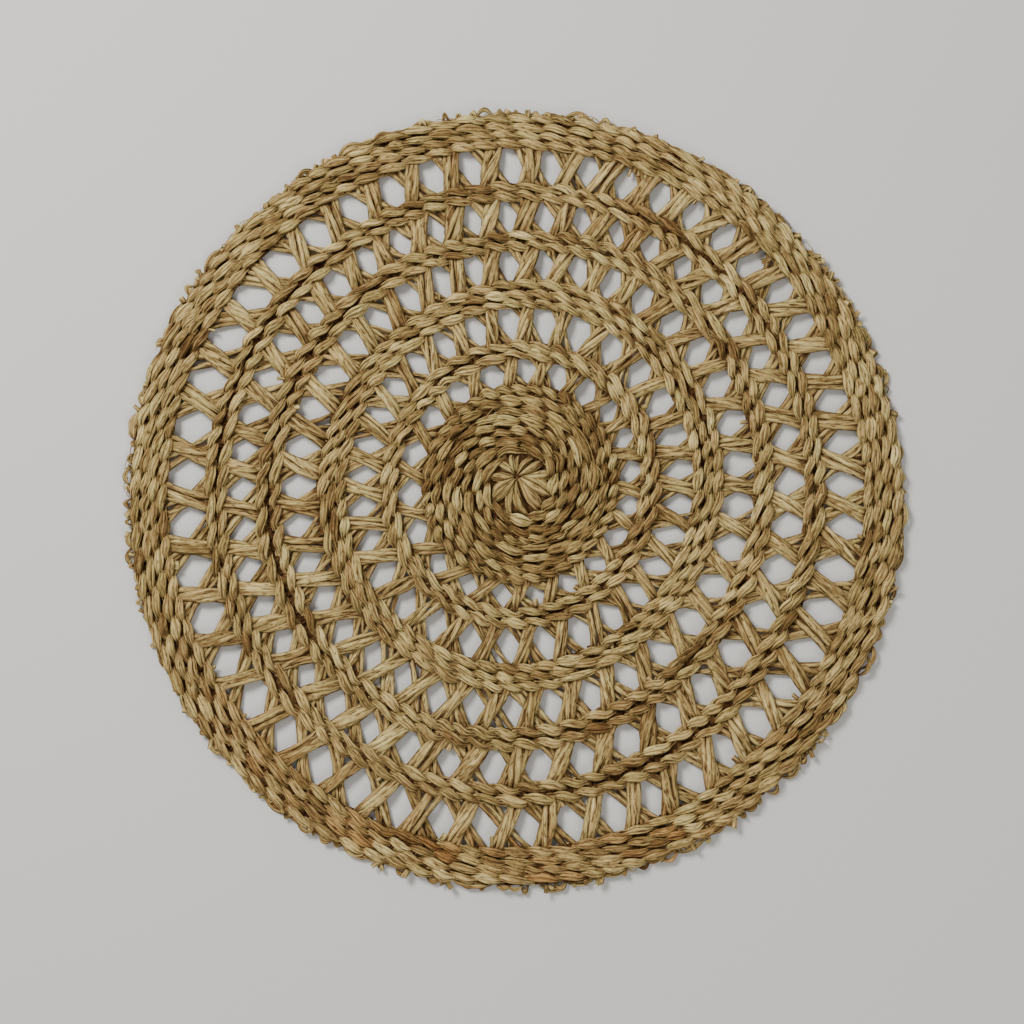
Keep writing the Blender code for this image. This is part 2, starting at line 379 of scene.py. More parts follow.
def twined_row(ring, radius, stitches, start, sway, rng):
    """Two strands. At twist angle t a strand lies minus cos t times the slant outwards, and
    its height changes by the rise times a small power of sin t, so it stays on top for most
    of a stitch and dives quickly. It is half as wide where it dives. Its three blades sit
    at 60 degrees from each other on an arch over the strand's middle, which rolls."""
    around = 2 * np.pi * radius
    steps = int(round(around / STEP))
    angle = 2 * np.pi * np.arange(steps) / steps
    pace = UNEVEN_PACE * ring.wild * swing(angle, stitches / 3, rng) * 2 * np.pi / stitches
    turned = (angle + pace) * stitches / 2 + start
    twist = np.stack([turned, turned + np.pi])[:, None]
    number = np.floor(twist / np.pi).astype(int) % stitches

    def each_stitch(values):
        """One value a stitch, laid along the two strands."""
        return np.take_along_axis(values.reshape(2, 1, stitches), number, axis=2)

    sine = np.sin(twist)
    swell = np.abs(sine) ** SWELL_POWER
    plump = ring.wild * swell * each_stitch(give_or_take(1, 2 * stitches, rng))
    skew = ring.wild * swell * each_stitch(give_or_take(1, 2 * stitches, rng))
    ridge = swell * each_stitch(give_or_take(1, 2 * stitches, rng))
    rolled = swell * each_stitch(give_or_take(1, 2 * stitches, rng))
    tone = ring.tone + each_stitch(rng.normal(0, STITCH_TONE * ring.wild, 2 * stitches))
    rust = each_stitch(mostly_small(RUST_POWER, 2 * stitches, rng))
    green = each_stitch(mostly_small(GREEN_POWER, 2 * stitches, rng))
    green = ring.green + (1 - ring.green) * green
    ply_half = ring.width / 2 * (DIVE_WIDTH + (1 - DIVE_WIDTH) * swell + PLUMP_WIDTH * plump)

    shift = swing(angle, around / BLADE_SHIFT_RUN, rng, (2, 3))
    roll = STITCH_ROLL * rolled + SLOW_ROLL * swing(angle, around / SLOW_ROLL_RUN, rng, (2, 1))
    seat = np.pi / 2 - SEATS * np.pi / 3 + roll + BLADE_SHIFT * shift
    aside = ARCH_WIDTH * ply_half * np.cos(seat)
    crown = ARCH_HEIGHT * ply_half * (np.sin(seat) - ARCH_BASE)
    tilt = TWIST_TILT * np.cos(twist) - SEAT_TILT * np.cos(seat)

    drift = sway + STRAY * ring.wild * swing(angle, stitches / 2, rng)
    side = -ring.slant * np.cos(twist) * (1 + SKEW_SLANT * skew) + SKEW * skew
    far = radius + drift + side + aside
    rise = np.sign(sine) * np.abs(sine) ** RISE_POWER * (1 + PLUMP_RISE * plump)
    lift = LIFT * swing(angle, stitches / 3, rng)
    bob = BOB * swing(angle, around / BOB_RUN, rng, (2, 3))
    height = MID_HEIGHT + lift + bob + TWIST_RISE * rise + crown
    height = np.maximum(height + RIDGE_HEIGHT * ridge * (1 - SEATS**2), LOWEST)

    half_width = ply_half * (MIDDLE_BLADE - SIDE_BLADE_LESS * SEATS**2)
    half_width = half_width * (1 + RIDGE_WIDTH * ridge * (RIDGE_MIDDLE - SEATS**2))
    uneven = swing(angle, around / UNEVEN_WIDTH_RUN, rng, (2, 3))
    half_width = half_width * (1 + UNEVEN_WIDTH * uneven)
    thick = DIVE_THICKNESS + (1 - DIVE_THICKNESS) * swell + PLUMP_THICKNESS * plump
    own = rng.normal(0, BLADE_TONE, (2, 3, 1)) + SHIFT_TONE * shift
    # Painted shade, darkest a little below the middle height, where the strand dives under its
    # partner.
    depth_shade = DIVE_SHADE * (1 - np.abs(rise + DARKEST_BELOW) / (1 + DARKEST_BELOW)) ** 2

    path = lifted(place(far, angle), height).reshape(-1, steps, 3)
    across = lifted(outward(far, angle), 0.0).reshape(-1, steps, 3)
    shape = (2, 3, steps)
    return blades(
        path,
        across,
        blade_by_blade(half_width, shape),
        blade_by_blade(BLADE_HALF_THICK * thick, shape),
        blade_by_blade(tilt, shape),
        blade_by_blade(tone + own, shape),
        blade_by_blade(depth_shade, shape),
        rust_at(path, blade_by_blade(rust, shape)),
        blade_by_blade(green, shape),
        True,
        rng,
    )


def twined_ring(ring, rng):
    """Rows with one count of stitches, so that neighbours stay about half a stitch apart.
    In the disc each row has stitches of its own length, shortest in the last row. All rows
    sway together, and here and there they gather: the outer ones come closer to the ring's
    middle."""
    half_rows = (ring.rows - 1) / 2
    middle = ring.first_row + ring.spacing * half_rows
    knots = max(FEWEST_SWAYS, round(2 * np.pi * middle / SWAY_RUN))
    slow, gathered = give_or_take(0.5, knots, rng), give_or_take(1, knots, rng)
    rows, start = [], 0.0
    for row in range(ring.rows):
        radius = ring.first_row + ring.spacing * row
        stitches = 2 * round(np.pi * middle / ring.stitch)
        if ring.name == "disc":
            pitch = ring.stitch * DISC_PITCHES[row]
            stitches = 2 * round(np.pi * radius / pitch)
        steps = int(round(2 * np.pi * radius / STEP))
        angle = 2 * np.pi * np.arange(steps) / steps
        sway = ring.wild * MM * through(slow, angle)
        from_middle = row / half_rows - 1
        sway = sway + GATHER * from_middle * (through(gathered, angle) - GATHER_FROM)
        start += np.pi * rng.uniform(*STAGGER)
        rows.append(twined_row(ring, radius, stitches, start, sway, rng))
    return rows


rng = np.random.default_rng(SEED)
row_groups = {ring.name: twined_ring(ring, rng) for ring in RINGS}
twined = [row for group in row_groups.values() for row in group]
print("blades in the twining:", sum(len(row.points) for row in twined))

# %% [markdown]
# ## Crossed stakes
#
# In each open band a pair of stakes crosses once. Each stake is a bundle of blades lying
# side by side. The one on top leans one way and bulges up. The other leans the other way,
# underneath. Both run on into the rows at their two ends.

# %% The crossings of an open band
ROW_WIDTH = 4.8 * MM
PITCH = 20.0 * MM
BLADE_STEPS = 7
FOOT, FOOT_DROP, FOOT_DROP_FROM = 4.2 * MM, 1.1 * MM, 0.9
Stake = namedtuple("Stake", "blades width thick lean fan middle_height end_height")
OVER = Stake(6, 7.4 * MM, 0.9 * MM, -2.9 * MM, 0.1, 4.8 * MM, 3.4 * MM)
UNDER = Stake(4, 6.7 * MM, 0.5 * MM, 4.8 * MM, 0.4, 2.1 * MM, 2.9 * MM)

# The bundle: how uneven, spread, fanned and twisted it is, and how much its lean varies.
BUNDLE_UNEVEN, BUNDLE_SWINGS = 0.1, 6
BUNDLE_SPREAD = (0.86, 1.14)
BUNDLE_FAN, BUNDLE_TWIST = 0.2, 1.2
BUNDLE_ASIDE = 0.8 * MM
OWN_LEAN = 0.25
SLOW_LEAN, MOST_LEAN_AT = 0.22, np.radians(240)
LEAN_UNEVEN, LEAN_SWINGS = 0.15, 5

# Its blades: their widths and places, and how flat they lie at the ends.
BLADE_HALF = (0.3, 0.4)
BLADE_TURN, BLADE_ASIDE = 0.35, 0.5 * MM
BLADE_LIFT, LOWEST_BLADE = 0.25 * MM, 0.9 * MM
END_WIDTH, MIDDLE_WIDER, END_THICKNESS = 0.9, 0.12, 0.4
BUNDLE_TILT = 0.45

# Its tones, and the painted shade on its lower blades and where it goes in under a row.
STAKE_TONE, STAKE_TONE_SPREAD, STAKE_BLADE_TONE = 0.57, 0.09, 0.11
UNDERSIDE_SHADE = 0.32
FOOT_SHADE, FOOT_SHADE_FROM, FOOT_SHADE_BLEND = 0.85, 0.85, 0.35


def band_limits(index):
    """The inner and outer radius of an open band."""
    inner, outer = RINGS[index], RINGS[index + 1]
    last = inner.first_row + inner.spacing * (inner.rows - 1)
    return last + ROW_WIDTH / 2, outer.first_row - ROW_WIDTH / 2


def crossing_angles(band):
    """Angles halfway between gaps: even turns plus a drift once and twice round."""
    turn = 2 * np.pi * np.arange(band.crossings) / band.crossings
    drift = band.first + band.cos1 * np.cos(turn) + band.sin1 * np.sin(turn)
    drift = drift + band.cos2 * np.cos(2 * turn) + band.sin2 * np.sin(2 * turn)
    gaps = turn + np.radians(drift)
    return (gaps + np.append(gaps[1:], gaps[0] + 2 * np.pi)) / 2


def blade_bundle(stake, limits, crossings, scale, wide, rng):
    """Blades of one stake at every crossing of a band. The bundle's middle lies lean times
    share t to the side, from -1 inside to 1 outside, and leans most at the mat's lower left.
    The blades sit round a flat ellipse about it, and the ellipse turns as t grows, so the
    grooves run a little askew."""
    inner, outer = limits
    middle, half = (inner + outer) / 2, (outer - inner) / 2
    share = np.linspace(-1 - FOOT / half, 1 + FOOT / half, BLADE_STEPS)
    each, every = (len(crossings), 1, 1), (len(crossings), stake.blades, 1)
    curve = np.cos(np.pi / 2 * np.clip(share, -1, 1))
    uneven = 1 + BUNDLE_UNEVEN * swing(crossings, BUNDLE_SWINGS, rng)
    bundle_half = (stake.width * scale * wide / 2 * uneven)[:, None, None]
    own_half = bundle_half * rng.uniform(*BLADE_HALF, every)

    turn = 2 * np.pi * np.arange(stake.blades)[None, :, None] / stake.blades
    turn = turn + rng.uniform(0, 2 * np.pi, each) + give_or_take(BUNDLE_TWIST, each, rng) * share
    turn = turn + give_or_take(BLADE_TURN, every, rng)
    fan = stake.fan + give_or_take(BUNDLE_FAN, each, rng)
    spread = (bundle_half - own_half) * rng.uniform(*BUNDLE_SPREAD, each)

    slow = SLOW_LEAN * np.cos(crossings - MOST_LEAN_AT)
    slow = slow + LEAN_UNEVEN * swing(crossings, LEAN_SWINGS, rng)
    more = 1 + slow[:, None, None] + give_or_take(OWN_LEAN, each, rng)
    aside = stake.lean * scale * share * more + give_or_take(BUNDLE_ASIDE, each, rng)
    aside = aside + spread * np.cos(turn) * (1 + fan * share**2)
    aside = aside + give_or_take(BLADE_ASIDE, every, rng) * (1 - share**2)

    height = stake.end_height + (stake.middle_height - stake.end_height) * curve
    height = height - FOOT_DROP * np.clip((np.abs(share) - FOOT_DROP_FROM) * half / FOOT, 0, 1)
    thicker = END_THICKNESS + (1 - END_THICKNESS) * curve
    height = height + stake.thick * np.sin(turn) * thicker
    height = np.maximum(height + give_or_take(BLADE_LIFT, every, rng), LOWEST_BLADE)

    radius = np.broadcast_to(middle + share * half, aside.shape)
    angle = crossings[:, None, None] + aside / radius
    path = lifted(place(radius, angle), height).reshape(-1, BLADE_STEPS, 3)
    half_thick = between(0.8, 1.05, every, rng)
    tone = rng.normal(STAKE_TONE, STAKE_TONE_SPREAD, each)
    tone = tone + rng.normal(0, STAKE_BLADE_TONE, every)
    # Painted shade: on the lower blades of the bundle, and at its ends where it goes in under a
    # row.
    deep = FOOT_SHADE * np.clip((np.abs(share) - FOOT_SHADE_FROM) / FOOT_SHADE_BLEND, 0, 1)
    low = UNDERSIDE_SHADE * (1 - np.sin(turn))
    return blades(
        path,
        to_the_right(path),
        blade_by_blade(own_half * (END_WIDTH + MIDDLE_WIDER * curve), aside.shape),
        blade_by_blade(half_thick, aside.shape),
        blade_by_blade(BUNDLE_TILT * np.cos(turn), aside.shape),
        blade_by_blade(tone, aside.shape),
        blade_by_blade(np.maximum(low, deep), aside.shape),
        rust_at(path, mostly_small(RUST_POWER, (len(path), 1), rng)),
        mostly_small(GREEN_POWER, (len(path), 1), rng),
        False,
        rng,
    )


def crossed_stakes(index, rng):
    """The upper and the lower stakes of a band, wider where the crossings lie wide apart."""
    band = BANDS[index]
    limits = band_limits(index)
    scale = np.pi * sum(limits) / band.crossings / PITCH
    crossings = crossing_angles(band)
    return [
        blade_bundle(stake, limits, crossings, scale, band.wide, rng) for stake in (OVER, UNDER)
    ]


stake_groups = [group for index in range(len(BANDS)) for group in crossed_stakes(index, rng)]
print("blades in the crossings:", sum(len(group.points) for group in stake_groups))

# %% [markdown]
# ## Stakes inside the rows
#
# Between the two strands of every row the stakes run on, pressed flat and side by side, so
# no light comes through a ring. They carry a very dark tone and painted shade, so they show only
# as a brown glimpse of shade between stitches.

# %% Flat blades under the rows
FLAT_PITCH, FLAT_REACH = 5.6 * MM, 1.2 * MM
FLAT_STEPS, DISC_FLAT_STEPS = 4, 6
FLAT_UNEVEN, FLAT_LEAN, FLAT_TILT = 0.15, 1 / 6, 0.3
FLAT_HEIGHT, FLAT_LIFT = 2.4 * MM, 0.3 * MM
FLAT_OVERLAP = 1.2
FLAT_HALF_THICK = 0.6 * MM
# A very dark tone and painted shade, so these blades show as shade between the rows.
FLAT_SHADE_TONE, FLAT_TONE_SPREAD = 0.1, 0.08
INSIDE_SHADE = 0.95


def stakes_in_ring(ring, rng):
    """Radial blades. Half width is a little over half their share of the circle, so each
    overlaps the next."""
    inner = ring.first_row - FLAT_REACH
    outer = ring.first_row + ring.spacing * (ring.rows - 1) + FLAT_REACH
    count = round(np.pi * (inner + outer) / FLAT_PITCH)
    each = (count, 1)
    steps = DISC_FLAT_STEPS if ring.name == "disc" else FLAT_STEPS
    radius = np.linspace(inner, outer, steps)[None]
    turn = 2 * np.pi * (np.arange(count) + give_or_take(FLAT_UNEVEN, count, rng)) / count
    angle = turn[:, None] + give_or_take(FLAT_LEAN, each, rng) * (radius - inner) / radius
    height = FLAT_HEIGHT + give_or_take(FLAT_LIFT, each, rng) + 0 * radius
    path = lifted(place(radius + 0 * angle, angle), height)
    return blades(
        path,
        to_the_right(path),
        FLAT_OVERLAP * np.pi * radius / count,
        FLAT_HALF_THICK,
        give_or_take(FLAT_TILT, each, rng),
        # a very dark tone and painted shade
        rng.normal(FLAT_SHADE_TONE, FLAT_TONE_SPREAD, each),
        INSIDE_SHADE,
        0.0,
        mostly_small(GREEN_POWER, each, rng),
        False,
        rng,
    )


hidden_groups = [stakes_in_ring(ring, rng) for ring in RINGS]
print("flat blades inside the rows:", sum(len(group.points) for group in hidden_groups))

# %% [markdown]
# ## The star
#
# The stakes start at the centre, laid across each other and bound by the first row. They
# show as a star of plump petals round a small hole, which painted shade on the blades beneath
# makes dark; the petals carry painted shade where they sink low. The first row was worked off
# centre, so the petals are short towards the top and long towards the bottom right.

# %% Petals of the star
Petal = namedtuple("Petal", "degrees reach width")
PETALS = (
    Petal(4, 17.5, 6.4),
    Petal(-15, 19.5, 6.4),
    Petal(-34, 20.0, 4.4),
    Petal(-60, 20.5, 6.4),
    Petal(-88, 21.0, 6.4),
    Petal(-110, 20.0, 4.4),
    Petal(-131, 17.5, 5.6),
    Petal(-152, 16.0, 5.6),
    Petal(-170, 15.0, 3.6),
    Petal(174, 14.0, 4.6),
    Petal(146, 12.5, 4.0),
    Petal(114, 11.5, 3.6),
    Petal(88, 11.5, 3.0),
    Petal(62, 12.5, 3.4),
    Petal(31, 14.5, 5.0),
)
PETAL_STEPS = 9
HOLE = (0.9, 2.6)
PETAL_TURN, PETAL_BEND = 5, 0.34
BASE_HALF, PETAL_WIDENING, PETAL_ROUNDING = 0.1 * MM, 0.25, 0.35
PETAL_PLUMP, PETAL_SHORTER = (0.85, 1.2), (0.9, 1.0)
PETAL_SEAT, SEAT_SPREAD, BASE_ASIDE = 0.6, 0.3, 0.6 * MM
CREST_FROM, CREST_RUN = 0.24, 0.66
PETAL_LOW, CREST_HEIGHT, SIDE_LOWER = 2.2 * MM, 3.0 * MM, 0.8 * MM
PETAL_BLADE, SIDE_PETAL_LESS = 0.62, 0.25
PETAL_THICKNESS, PETAL_TILT = 1.1, 0.3
PETAL_TONE, PETAL_TONE_SPREAD, PETAL_BLADE_TONE = 0.52, 0.12, 0.07
# Painted shade on the petals, heavier where they sink low beside the hole and under the first row.
PETAL_SHADE, PETAL_FOOT_SHADE, PETAL_SHADE_POWER = 0.1, 1.2, 1.5

HUB_BLADES, HUB_STEPS, HUB_REACH = 9, 7, 20 * MM
HUB_RADIUS, HUB_UNEVEN = 8.0 * MM, 0.2
HUB_HEIGHT, HUB_STACK = 1.2 * MM, 1.4 * MM
# The hub blades get a dark tone and painted shade, so the hole in the star shows dark.
HUB_HALF, HUB_SHADE_TONE, HUB_GREEN = 3.9 * MM, 0.25, 0.2


def star_petals(rng):
    """Three blades a petal, the middle one the widest. A petal widens evenly from the hole
    to its full width, and rounds off at its end. It starts a little beside the centre and
    bends on its way out. Its height is a part of a sine, which starts high beside the hole
    and ends under the row."""
    degrees, reach, width = (np.array(column)[:, None, None] for column in zip(*PETALS))
    each, every = (len(PETALS), 1, 1), (len(PETALS), 3, 1)
    share = np.linspace(0, 1, PETAL_STEPS)
    turn = np.radians(degrees + give_or_take(PETAL_TURN, each, rng))
    turn = turn + give_or_take(PETAL_BEND, each, rng) * share**2
    hole = rng.uniform(*HOLE, each)
    out_to = (hole + (reach - hole) * share) * MM
    half = np.minimum(BASE_HALF + PETAL_WIDENING * out_to, width * MM / 2)
    half = half * (1 - PETAL_ROUNDING * share**4) * rng.uniform(*PETAL_PLUMP, each)
    aside = half * (PETAL_SEAT * SEATS + give_or_take(SEAT_SPREAD, every, rng))
    aside = aside + give_or_take(BASE_ASIDE, each, rng) * (1 - share)
    out_to = out_to * rng.uniform(*PETAL_SHORTER, every)
    heading = np.stack([np.cos(turn), np.sin(turn)], axis=-1)
    right = np.stack([np.sin(turn), -np.cos(turn)], axis=-1)
    plan = place(0.0, 0.0) + heading * out_to[..., None] + right * aside[..., None]

    crest = np.sin(np.pi * (CREST_FROM + CREST_RUN * share))
    height = PETAL_LOW + CREST_HEIGHT * crest - SIDE_LOWER * SEATS**2
    height = height + between(-0.3, 0.3, every, rng) + between(-1.1, 0.6, each, rng)
    path = lifted(plan, height).reshape(-1, PETAL_STEPS, 3)
    half_width = blade_by_blade(half * (PETAL_BLADE - SIDE_PETAL_LESS * SEATS**2), aside.shape)
    tone = rng.normal(PETAL_TONE, PETAL_TONE_SPREAD, each)
    tone = tone + rng.normal(0, PETAL_BLADE_TONE, (1, 3, 1))
    return blades(
        path,
        to_the_right(path),
        half_width,
        np.clip(PETAL_THICKNESS * half_width, 0.5 * MM, 1.2 * MM),
        give_or_take(PETAL_TILT, (len(path), 1), rng),
        tone.reshape(-1, 1),
        # painted shade, heavier where the petal sinks low
        PETAL_SHADE + PETAL_FOOT_SHADE * (1 - crest) ** PETAL_SHADE_POWER,
        0.0,
        mostly_small(GREEN_POWER, (len(path), 1), rng),
        False,
        rng,
    )


def hub_blades(rng):
    """Long flat blades laid across each other under the star, one for each direction."""
    number = np.arange(HUB_BLADES)
    turn = np.pi * (number + give_or_take(HUB_UNEVEN, HUB_BLADES, rng)) / HUB_BLADES
    reach = np.linspace(-HUB_REACH, HUB_REACH, HUB_STEPS)[:, None]
    heading = np.stack([np.cos(turn), np.sin(turn)], axis=-1)[:, None]
    centre = place(HUB_RADIUS, 0.0) - [HUB_RADIUS, 0.0]
    height = HUB_HEIGHT + HUB_STACK * number[:, None] / HUB_BLADES
    path = lifted(centre + heading * reach, height)
    return blades(
        path,
        to_the_right(path),
        HUB_HALF,
        FLAT_HALF_THICK,
        0.0,
        # a dark tone and painted shade, so the hole in the star shows dark
        HUB_SHADE_TONE,
        INSIDE_SHADE,
        0.0,
        HUB_GREEN,
        False,
        rng,
    )


star = [star_petals(rng), hub_blades(rng)]
print("blades in the star:", sum(len(group.points) for group in star))

# %% [markdown]
# ## The selvage
#
# Outside the last row the stakes are turned back and cut, so a ragged chain of small loops
# runs round the mat, lower than the rows. Each loop is two thin blades that swing out and in.

# %% Small loops round the edge
LOOPS = 170
LOOP_STEPS = 9
LAST_ROW = 186.3 * MM
LOOP_UNEVEN = 0.35
SHORTEST_LOOP, LONGER_LOOP = 0.4, 2.4
LOOP_FROM, LEAST_LOOP, LARGER_LOOP = 1.4 * MM, 0.9 * MM, 2.8 * MM
LOOP_SWELL_POWER, LOOP_REACH_POWER = 0.8, 1.5
LOWEST_LOOP, LOOP_THICKNESS, LOOP_TILT = 0.8 * MM, 0.8, 0.4
LOOP_HALF, LOOP_HALF_MORE, LOOP_UNEVEN_WIDTH = 0.45 * MM, 0.3 * MM, (0.65, 1.25)
# The loops' tones, and the painted shade at their ends, where they go in under the last row.
LOOP_TONE, LOOP_TONE_SPREAD, LOOP_SHADE = 0.5, 0.2, 0.7


def edge_loops(rng):
    """Each loop is an arc: its radius swells by a sine over its length, and its ends go
    in under the last row."""
    each, every = (LOOPS, 1, 1), (LOOPS, 2, 1)
    share = np.linspace(0, 1, LOOP_STEPS)
    pitch = 2 * np.pi / LOOPS
    seat = np.array([-1.0, 1.0])[None, :, None]
    start = pitch * (np.arange(LOOPS)[:, None, None] + give_or_take(LOOP_UNEVEN, each, rng))
    pitches = SHORTEST_LOOP + LONGER_LOOP * mostly_small(2, each, rng)
    angle = start + pitch * pitches * share
    swell = np.sin(np.pi * share) ** LOOP_SWELL_POWER
    reach = LEAST_LOOP + LARGER_LOOP * mostly_small(LOOP_REACH_POWER, each, rng)
    radius = LAST_ROW + LOOP_FROM + (reach + seat * between(0.35, 0.7, each, rng)) * swell
    height = between(1.4, 4.2, each, rng) + between(-1.0, 0.6, each, rng) * swell
    height = np.maximum(height + between(-0.3, 0.3, every, rng), LOWEST_LOOP)
    path = lifted(place(radius, angle), height).reshape(-1, LOOP_STEPS, 3)
    own = (len(path), 1)
    half_width = (LOOP_HALF + LOOP_HALF_MORE * swell) * rng.uniform(*LOOP_UNEVEN_WIDTH, own)
    return blades(
        path,
        to_the_right(path),
        half_width,
        LOOP_THICKNESS * half_width,
        give_or_take(LOOP_TILT, own, rng),
        rng.normal(LOOP_TONE, LOOP_TONE_SPREAD, own),
        # painted shade at the loop's ends, under the last row
        LOOP_SHADE * (1 - swell),
        rust_at(path, mostly_small(2, own, rng)),
        mostly_small(GREEN_POWER, own, rng),
        False,
        rng,
    )


loops = edge_loops(rng)
print("blades in the selvage:", len(loops.points))

# %% [markdown]
# ## Cut ends and stray fibres
#
# Where a blade ran out it was cut, and its blunt end still pokes out: outside the rim, and
# into the gaps beside the rings. Thin fibres that split off a blade curl round the edge.

# %% Short blunt ends and thin curls
END_STEPS, FIBRE_STEPS = 5, 9
END_RISE, FIBRE_RISE = 0.5 * MM, 0.5 * MM
# The ends' thinness and tilt, and the painted shade at their roots, where they come out from under
# a row.
END_THIN, END_TILT, END_SHADE = 0.55, 0.5, 0.6
STUB_FROM = 1.6 * MM
FIBRE_HALF, FIBRE_THINNING, FIBRE_GREEN = 0.3 * MM, 0.6, 0.2
LOOSE_TONE, LOOSE_TONE_SPREAD = 0.6, 0.2
OUTER_ENDS, RING_STUBS = 130, 26
RIM_STUBS = ((26, -60, 140), (12, 140, 300))
EDGE_FIBRES, DISC_FIBRES = 90, 12


def cut_ends(start_radius, angle, reach, lean, height, rng):
    """Straight short blades from a start radius, going out by reach and aside by lean."""
    each = (len(angle), 1)
    share = np.linspace(0, 1, END_STEPS)
    radius = start_radius[:, None] + reach[:, None] * share
    turn = angle[:, None] + lean[:, None] * share / radius
    path = lifted(place(radius, turn), height[:, None] + END_RISE * share)
    half_width = between(0.7, 1.6, each, rng)
    return blades(
        path,
        to_the_right(path),
        half_width,
        half_width * END_THIN,
        give_or_take(END_TILT, each, rng),
        rng.normal(LOOSE_TONE, LOOSE_TONE_SPREAD, each),
        # painted shade at the root of the end
        END_SHADE * (1 - share),
        0.0,
        mostly_small(GREEN_POWER, each, rng),
        False,
        rng,
    )


def stray_fibres(radius, angle, length, height, rng):
    """Thin curls: each runs along its row for its length and swings out and in by sines."""
    each = (len(angle), 1)
    share = np.linspace(0, 1, FIBRE_STEPS)
    swings, out_and_in = rng.uniform(0.5, 1.6, each), between(0.3, 2.2, each, rng)
    far = radius[:, None] + out_and_in * np.sin(np.pi * swings * share)
    turn = angle[:, None] + length[:, None] * share / far
    path = lifted(place(far, turn), height[:, None] + FIBRE_RISE * np.sin(np.pi * share))
    half = FIBRE_HALF * (1 - FIBRE_THINNING * share) * rng.uniform(0.7, 1.3, each)
    tone = rng.normal(LOOSE_TONE, LOOSE_TONE_SPREAD, each)
    aside = to_the_right(path)
    return blades(path, aside, half, half, 0.0, tone, 0.0, 0.0, FIBRE_GREEN, False, rng)


def anywhere(count, rng):
    """Random angles all round the mat."""
    return rng.uniform(0, 2 * np.pi, count)


def outer_ends(count, rng):
    """Ends that poke out past the last row."""
    return cut_ends(
        between(186.8, 188.2, count, rng),
        anywhere(count, rng),
        between(1.4, 4.0, count, rng),
        between(-3.5, 3.5, count, rng),
        between(1.6, 4.6, count, rng),
        rng,
    )


def rim_stubs(count, low, high, rng):
    """Stubs that poke inwards from the rim, between two angles in degrees."""
    return cut_ends(
        between(170.4, 171.4, count, rng),
        np.radians(rng.uniform(low, high, count)),
        between(-5.5, -2.6, count, rng),
        between(-1.8, 1.8, count, rng),
        between(2.2, 4.4, count, rng),
        rng,
    )


def ring_stubs(count, rng):
    """Stubs beside the other rings, half of them outwards and half inwards."""
    edges = [(ring.first_row, -1.0) for ring in RINGS[1:-1]]
    edges += [(ring.first_row + ring.spacing * (ring.rows - 1), 1.0) for ring in RINGS[:-1]]
    chosen = np.array(edges)[rng.integers(0, len(edges), count)]
    return cut_ends(
        chosen[:, 0] + chosen[:, 1] * STUB_FROM,
        anywhere(count, rng),
        chosen[:, 1] * between(1.8, 4.2, count, rng),
        between(-1.5, 1.5, count, rng),
        between(2.6, 4.6, count, rng),
        rng,
    )


def edge_fibres(count, rng):
    """Fibres that curl round the last row."""
    return stray_fibres(
        between(187.3, 189.3, count, rng),
        anywhere(count, rng),
        between(3, 13, count, rng),
        between(1.5, 4.5, count, rng),
        rng,
    )


def disc_fibres(count, rng):
    """Fibres that lie on the outer rows of the disc."""
    return stray_fibres(
        between(24, 46, count, rng),
        anywhere(count, rng),
        between(6, 16, count, rng),
        between(5.4, 6.4, count, rng),
        rng,
    )


loose = [
    outer_ends(OUTER_ENDS, rng),
    *(rim_stubs(count, low, high, rng) for count, low, high in RIM_STUBS),
    ring_stubs(RING_STUBS, rng),
    edge_fibres(EDGE_FIBRES, rng),
    disc_fibres(DISC_FIBRES, rng),
]
print("loose ends:", sum(len(group.points) for group in loose))

# %% [markdown]
# ## Small helpers for materials
#
# Colours are sRGB hex values, turned into linear light by one function. Another adds a
# node with its settings, values and links, and the rest are built on it.


# %% Helpers for the material
def linear(hexadecimal):
    """An sRGB hex colour as linear light, with alpha one."""
    parts = np.array([int(hexadecimal[i : i + 2], 16) for i in (0, 2, 4)]) / 255
    low, high = parts / 12.92, ((parts + 0.055) / 1.055) ** 2.4
    return (*np.where(parts <= 0.04045, low, high), 1.0)


def add_node(tree, kind, settings=None, values=None, links=None):
    """Adds a node, sets its settings and input values, and links its inputs."""
    node = tree.nodes.new(kind)
    for key, value in (settings or {}).items():
        setattr(node, key, value)
    for key, value in (values or {}).items():
        node.inputs[key].default_value = value
    for key, socket in (links or {}).items():
        tree.links.new(socket, node.inputs[key])
    return node


def ramp(tree, factor, stops):
    """A colour ramp with its stops given as place and hex colour."""
    node = add_node(tree, "ShaderNodeValToRGB", links={"Fac": factor})
    elements = node.color_ramp.elements
    for element, (place_at, _) in zip(elements, (stops[0], stops[-1])):
        element.position = place_at
    for place_at, _ in stops[1:-1]:
        elements.new(place_at)
    for element, (_, colour) in zip(sorted(elements, key=lambda e: e.position), stops):
        element.color = linear(colour)
    return node.outputs["Color"]


def stretched_noise(tree, uv, per_metre, round_blade, detail):
    """Noise drawn out along the blade: features so many a metre, and so many round it."""
    spread = add_node(
        tree,
        "ShaderNodeMapping",
        values={"Scale": (per_metre, round_blade, 1.0)},
        links={"Vector": uv},
    )
    return add_node(
        tree,
        "ShaderNodeTexNoise",
        values={"Scale": 1.0, "Detail": detail, "Roughness": 0.6},
        links={"Vector": spread.outputs["Vector"]},
    ).outputs["Fac"]


def plain_noise(tree, spot, per_metre, detail):
    """Noise in space, the same in all directions, with features so many a metre."""
    return add_node(
        tree,
        "ShaderNodeTexNoise",
        values={"Scale": per_metre, "Detail": detail},
        links={"Vector": spot},
    ).outputs["Fac"]


def tinted(tree, colour, tint, factor):
    """Colour multiplied by a hex tint, as far as the factor says."""
    return add_node(
        tree,
        "ShaderNodeMix",
        {"data_type": "RGBA", "blend_type": "MULTIPLY"},
        {7: linear(tint)},
        {0: factor, 6: colour},
    ).outputs[2]


